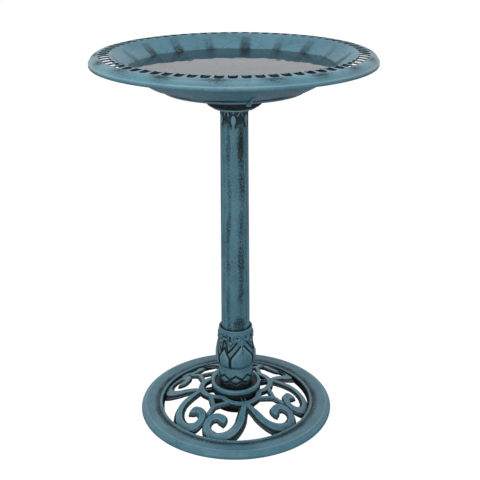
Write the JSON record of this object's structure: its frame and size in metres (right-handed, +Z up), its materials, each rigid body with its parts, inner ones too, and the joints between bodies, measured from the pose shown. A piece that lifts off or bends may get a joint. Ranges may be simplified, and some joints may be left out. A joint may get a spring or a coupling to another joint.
{
  "type": "bird bath",
  "caption": "Free-standing pedestal bird bath with a wide pierced-rim basin that twists off a slender column, on an openwork scroll base.",
  "frame": {"origin": "centre of the base ring's footprint, at ground level", "axes": "+Z up along the column, -Y towards the front, +X to the right of a viewer at the front"},
  "size_m": [0.508, 0.508, 0.72],
  "materials": {
    "antique_teal": "satin moulded resin, teal with a dark antique rub in the hollows",
    "dark_resin": "matt near-black moulded resin",
    "plated_steel": "zinc-plated"
  },
  "bodies": {
    "pedestal": {"base_ring": "antique_teal", "base_hub": "antique_teal", "hub_socket": "dark_resin", "scroll_front_right": "antique_teal", "scroll_back_right": "antique_teal", "scroll_back_left": "antique_teal", "scroll_front_left": "antique_teal", "column_foot": "antique_teal", "pole_tube": "antique_teal", "pole_cap": "antique_teal", "support_plate": "antique_teal", "plate_screws": "plated_steel", "tie_bolt": "plated_steel", "tie_nut": "plated_steel", "tie_washers": "plated_steel"},
    "basin": {"basin": "antique_teal"},
    "release_tab": {"release_tab": "antique_teal"}
  },
  "joints": [
    {"name": "basin_twist", "type": "hinge", "parent": "pedestal", "child": "basin", "pos_m": [0, 0, 0.66], "axis": [0, 0, 1], "range_deg": [0, 30]},
    {"name": "tab_flex", "type": "hinge", "parent": "basin", "child": "release_tab", "pos_m": [0.03167, -0.16295, 0.6722], "axis": [-0.9816, -0.1908, 0], "range_deg": [0, 12], "stiffness_Nm_per_rad": 0.4}
  ]
}
